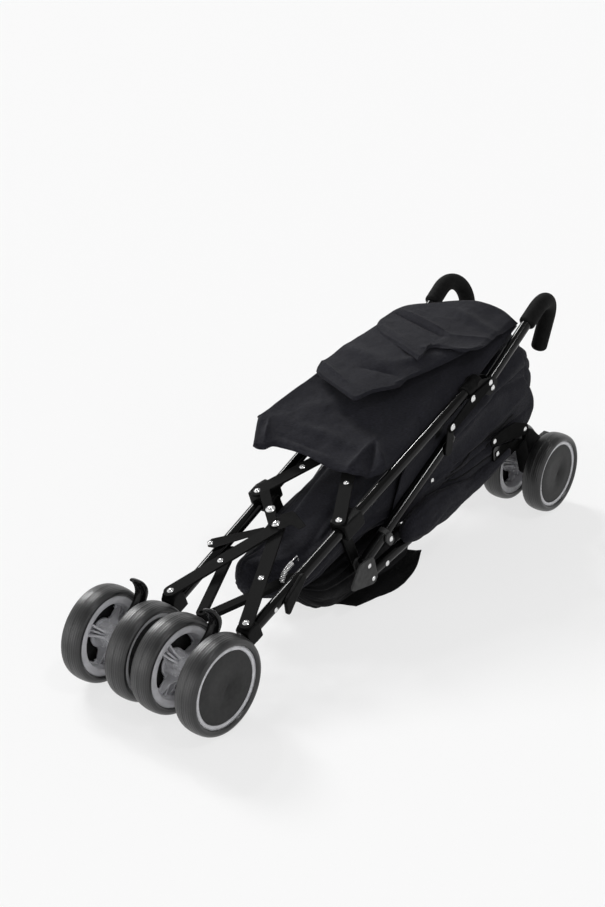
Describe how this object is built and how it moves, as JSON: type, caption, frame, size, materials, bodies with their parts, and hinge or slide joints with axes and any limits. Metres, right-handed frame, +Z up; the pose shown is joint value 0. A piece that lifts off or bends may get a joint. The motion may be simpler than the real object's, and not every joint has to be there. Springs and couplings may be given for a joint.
{
  "type": "folding umbrella stroller",
  "caption": "Folded umbrella stroller lying on its twin wheels: splayed tube side frames, folding cross braces, hooked foam handles, folded canopy, seat fabric and basket.",
  "frame": {"origin": "on the floor midway between the front and rear axles, on the middle plane between the side frames", "axes": "+X to the stroller's right side frame, +Y from the front wheels towards the handles, +Z up from the floor that the folded stroller lies on"},
  "size_m": [0.3292, 1.0678, 0.4098],
  "materials": {
    "tube": "gloss black powder coat",
    "bar": "satin black",
    "moulding": "black moulded plastic",
    "grey_plate": "dark grey moulded plastic",
    "tyre": "dull black with fine lines",
    "rim": "pale grey moulded plastic",
    "cover": "charcoal",
    "axle": "dark steel",
    "foam": "matte foam",
    "cloth": "charcoal woven polyester",
    "basket_cloth": "near black woven polyester",
    "spring": "bright spring steel"
  },
  "bodies": {
    "frame_left": {"main_tube_left": "tube", "front_socket_left": "moulding", "lower_bracket_left": "moulding", "collar_left": "moulding", "pivot_plate_left": "grey_plate", "strut_tube_left": "tube", "strut_clamp_left": "moulding", "fold_link_left": "bar", "handle_joint_left": "moulding", "canopy": "cloth", "seat_fabric": "cloth", "basket": "basket_cloth"},
    "frame_right": {"main_tube_right": "tube", "front_socket_right": "moulding", "lower_bracket_right": "moulding", "collar_right": "moulding", "pivot_plate_right": "grey_plate", "strut_tube_right": "tube", "strut_clamp_right": "moulding", "fold_link_right": "bar", "handle_joint_right": "moulding", "hook_spring": "spring"},
    "storage_hook": {"storage_hook": "moulding"},
    "lower_brace_left": {"lower_brace_left": "bar", "centre_plate": "bar"},
    "upper_brace_left": {"upper_brace_left": "bar"},
    "cross_bar_left": {"cross_bar_left": "bar"},
    "lower_brace_right": {"lower_brace_right": "bar"},
    "upper_brace_right": {"upper_brace_right": "bar"},
    "cross_bar_right": {"cross_bar_right": "bar"},
    "handle_left": {"handle_tube_left": "tube", "handle_grip_left": "foam"},
    "rear_leg_left": {"rear_leg_left": "tube", "rear_bracket_left": "moulding"},
    "brake_pedal_left": {"brake_pedal_left": "moulding"},
    "fork_left": {"front_fork_left": "moulding"},
    "swivel_lever_left": {"swivel_lever_left": "moulding"},
    "wheels_front_left": {"tyres_front_left": "tyre", "rims_front_left": "rim", "wheel_covers_front_left": "cover", "axle_front_left": "axle"},
    "wheels_rear_left": {"tyres_rear_left": "tyre", "rims_rear_left": "rim", "wheel_covers_rear_left": "cover", "axle_rear_left": "axle"},
    "handle_right": {"handle_tube_right": "tube", "handle_grip_right": "foam"},
    "rear_leg_right": {"rear_leg_right": "tube", "rear_bracket_right": "moulding"},
    "brake_pedal_right": {"brake_pedal_right": "moulding"},
    "fork_right": {"front_fork_right": "moulding"},
    "swivel_lever_right": {"swivel_lever_right": "moulding"},
    "wheels_front_right": {"tyres_front_right": "tyre", "rims_front_right": "rim", "wheel_covers_front_right": "cover", "axle_front_right": "axle"},
    "wheels_rear_right": {"tyres_rear_right": "tyre", "rims_rear_right": "rim", "wheel_covers_rear_right": "cover", "axle_rear_right": "axle"}
  },
  "joints": [
    {"name": "side_spread", "type": "slide", "parent": "frame_left", "child": "frame_right", "axis": [1, 0, 0], "range_m": [0, 0.174], "deforming": ["canopy", "seat_fabric", "basket"]},
    {"name": "lower_brace_left_swing", "type": "hinge", "parent": "frame_left", "child": "lower_brace_left", "pos_m": [-0.07355, -0.35033, 0.1093], "axis": [0, -0.3486, 0.9373], "range_deg": [-33.81, 0]},
    {"name": "upper_brace_left_swing", "type": "hinge", "parent": "frame_left", "child": "upper_brace_left", "pos_m": [-0.08085, -0.13019, 0.19121], "axis": [0, -0.3486, 0.9373], "range_deg": [-40.69, 0]},
    {"name": "cross_bar_left_swing", "type": "hinge", "parent": "frame_left", "child": "cross_bar_left", "pos_m": [-0.0605, -0.2218, 0.126], "axis": [0, -0.1796, 0.9837], "range_deg": [0, 48.31]},
    {"name": "lower_brace_right_swing", "type": "hinge", "parent": "frame_right", "child": "lower_brace_right", "pos_m": [0.0736, -0.34883, 0.10526], "axis": [0, -0.3486, 0.9373], "range_deg": [0, 33.81]},
    {"name": "upper_brace_right_swing", "type": "hinge", "parent": "frame_right", "child": "upper_brace_right", "pos_m": [0.0809, -0.12869, 0.18718], "axis": [0, -0.3486, 0.9373], "range_deg": [0, 40.7]},
    {"name": "cross_bar_right_swing", "type": "hinge", "parent": "frame_right", "child": "cross_bar_right", "pos_m": [0.0605, -0.2218, 0.126], "axis": [0, -0.1796, 0.9837], "range_deg": [-48.31, 0]},
    {"name": "handle_left_fold", "type": "hinge", "parent": "frame_left", "child": "handle_left", "pos_m": [-0.09467, 0.28634, 0.293], "axis": [0.9995, 0.0332, 0], "range_deg": [-11.6, 0]},
    {"name": "rear_leg_left_fold", "type": "hinge", "parent": "frame_left", "child": "rear_leg_left", "pos_m": [-0.08339, -0.05347, 0.059], "axis": [0.9995, 0.0332, 0], "range_deg": [-80, 0]},
    {"name": "brake_left", "type": "hinge", "parent": "rear_leg_left", "child": "brake_pedal_left", "pos_m": [-0.10103, 0.47824, 0.106], "axis": [0.9995, 0.0332, 0], "range_deg": [-20, 0]},
    {"name": "fork_left_swivel", "type": "hinge", "parent": "frame_left", "child": "fork_left", "pos_m": [-0.07219, -0.39128, 0.0703], "axis": [-0.0238, 0.7189, 0.6947], "range_deg": [-4, 4]},
    {"name": "swivel_lever_left_turn", "type": "hinge", "parent": "fork_left", "child": "swivel_lever_left", "pos_m": [-0.07033, -0.44725, 0.099], "axis": [0.9995, 0.0332, 0], "range_deg": [0, 18]},
    {"name": "wheels_front_left_spin", "type": "hinge", "parent": "fork_left", "child": "wheels_front_left", "pos_m": [-0.07, -0.45725, 0.075], "axis": [0.9995, 0.0332, 0], "continuous": true},
    {"name": "wheels_rear_left_spin", "type": "hinge", "parent": "rear_leg_left", "child": "wheels_rear_left", "pos_m": [-0.10034, 0.45725, 0.075], "axis": [0.9995, 0.0332, 0], "continuous": true},
    {"name": "handle_right_fold", "type": "hinge", "parent": "frame_right", "child": "handle_right", "pos_m": [0.09467, 0.28634, 0.293], "axis": [0.9995, -0.0332, 0], "range_deg": [-11.6, 0]},
    {"name": "rear_leg_right_fold", "type": "hinge", "parent": "frame_right", "child": "rear_leg_right", "pos_m": [0.08339, -0.05347, 0.059], "axis": [0.9995, -0.0332, 0], "range_deg": [-80, 0]},
    {"name": "brake_right", "type": "hinge", "parent": "rear_leg_right", "child": "brake_pedal_right", "pos_m": [0.10103, 0.47824, 0.106], "axis": [0.9995, -0.0332, 0], "range_deg": [-20, 0]},
    {"name": "fork_right_swivel", "type": "hinge", "parent": "frame_right", "child": "fork_right", "pos_m": [0.07219, -0.39128, 0.0703], "axis": [0.0238, 0.7189, 0.6947], "range_deg": [-4, 4]},
    {"name": "swivel_lever_right_turn", "type": "hinge", "parent": "fork_right", "child": "swivel_lever_right", "pos_m": [0.07033, -0.44725, 0.099], "axis": [0.9995, -0.0332, 0], "range_deg": [0, 18]},
    {"name": "wheels_front_right_spin", "type": "hinge", "parent": "fork_right", "child": "wheels_front_right", "pos_m": [0.07, -0.45725, 0.075], "axis": [0.9995, -0.0332, 0], "continuous": true},
    {"name": "wheels_rear_right_spin", "type": "hinge", "parent": "rear_leg_right", "child": "wheels_rear_right", "pos_m": [0.10034, 0.45725, 0.075], "axis": [0.9995, -0.0332, 0], "continuous": true},
    {"name": "storage_hook_turn", "type": "hinge", "parent": "frame_right", "child": "storage_hook", "pos_m": [0.07736, -0.23533, 0.13843], "axis": [0.9995, -0.0332, 0], "range_deg": [0, 30]}
  ],
  "couplings": [
    {"joint": "lower_brace_left_swing", "follows": "side_spread", "rad_per_m": -3.3248},
    {"joint": "upper_brace_left_swing", "follows": "side_spread", "rad_per_m": -4.0011},
    {"joint": "cross_bar_left_swing", "follows": "side_spread", "rad_per_m": 4.7507},
    {"joint": "lower_brace_right_swing", "follows": "side_spread", "rad_per_m": 3.3252},
    {"joint": "upper_brace_right_swing", "follows": "side_spread", "rad_per_m": 4.002},
    {"joint": "cross_bar_right_swing", "follows": "side_spread", "rad_per_m": -4.7507},
    {"joint": "rear_leg_left_fold", "follows": "side_spread", "rad_per_m": -8.0245},
    {"joint": "rear_leg_right_fold", "follows": "side_spread", "rad_per_m": -8.0245}
  ]
}
